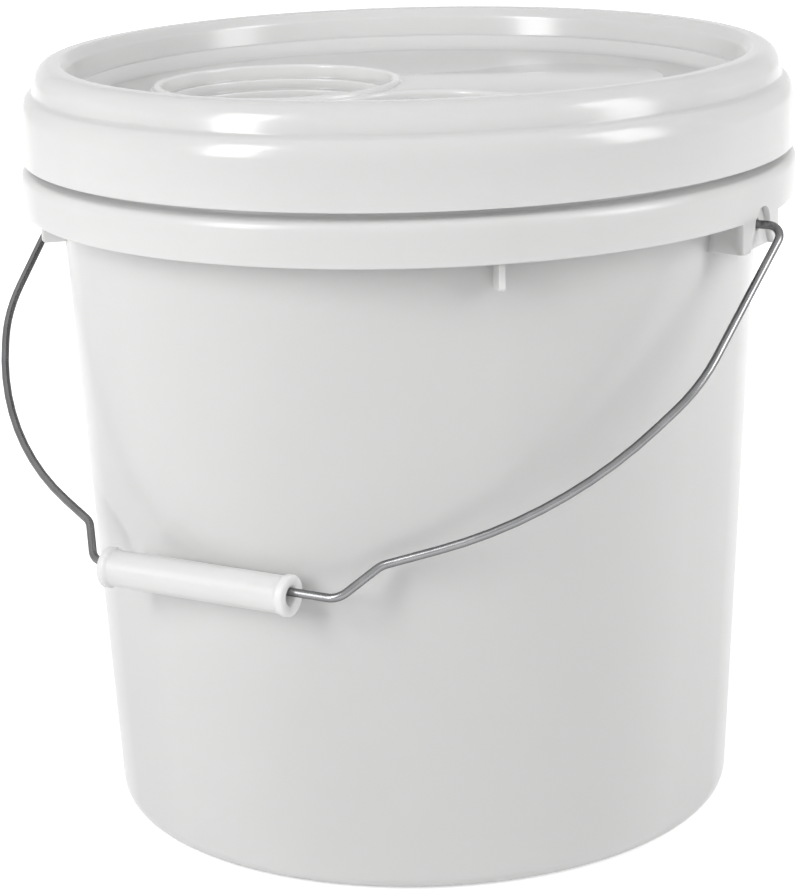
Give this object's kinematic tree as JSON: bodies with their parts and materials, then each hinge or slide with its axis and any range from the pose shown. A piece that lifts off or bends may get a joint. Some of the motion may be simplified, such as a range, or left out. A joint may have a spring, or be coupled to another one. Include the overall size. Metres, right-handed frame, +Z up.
{
  "type": "paint bucket",
  "caption": "Tapered plastic paint bucket with a ribbed collar, a press-on channel-rim lid with a round well, and a wire bail with a tubular hand grip.",
  "frame": {"origin": "centre of the underside of the base", "axes": "+Z up along the bucket's axis, X through both ears, and the bail hangs towards -Y"},
  "size_m": [0.2961, 0.268, 0.266],
  "materials": {
    "pail": "satin natural polypropylene, slightly translucent",
    "lid": "satin white polyethylene",
    "wire": "bright drawn wire",
    "grip": "milky natural polyethylene"
  },
  "bodies": {
    "bucket": {"pail": "pail"},
    "lid": {"lid": "lid"},
    "bail": {"bail": "wire"},
    "grip": {"grip": "grip"}
  },
  "joints": [
    {"name": "lid_lift", "type": "slide", "parent": "bucket", "child": "lid", "axis": [0, 0, 1], "range_m": [0, 0.04]},
    {"name": "bail_swing", "type": "hinge", "parent": "bucket", "child": "bail", "pos_m": [0, 0, 0.2139], "axis": [1, 0, 0], "range_deg": [-261, 0]},
    {"name": "grip_spin", "type": "hinge", "parent": "bail", "child": "grip", "pos_m": [0, -0.12183, 0.10725], "axis": [1, 0, 0], "continuous": true}
  ]
}
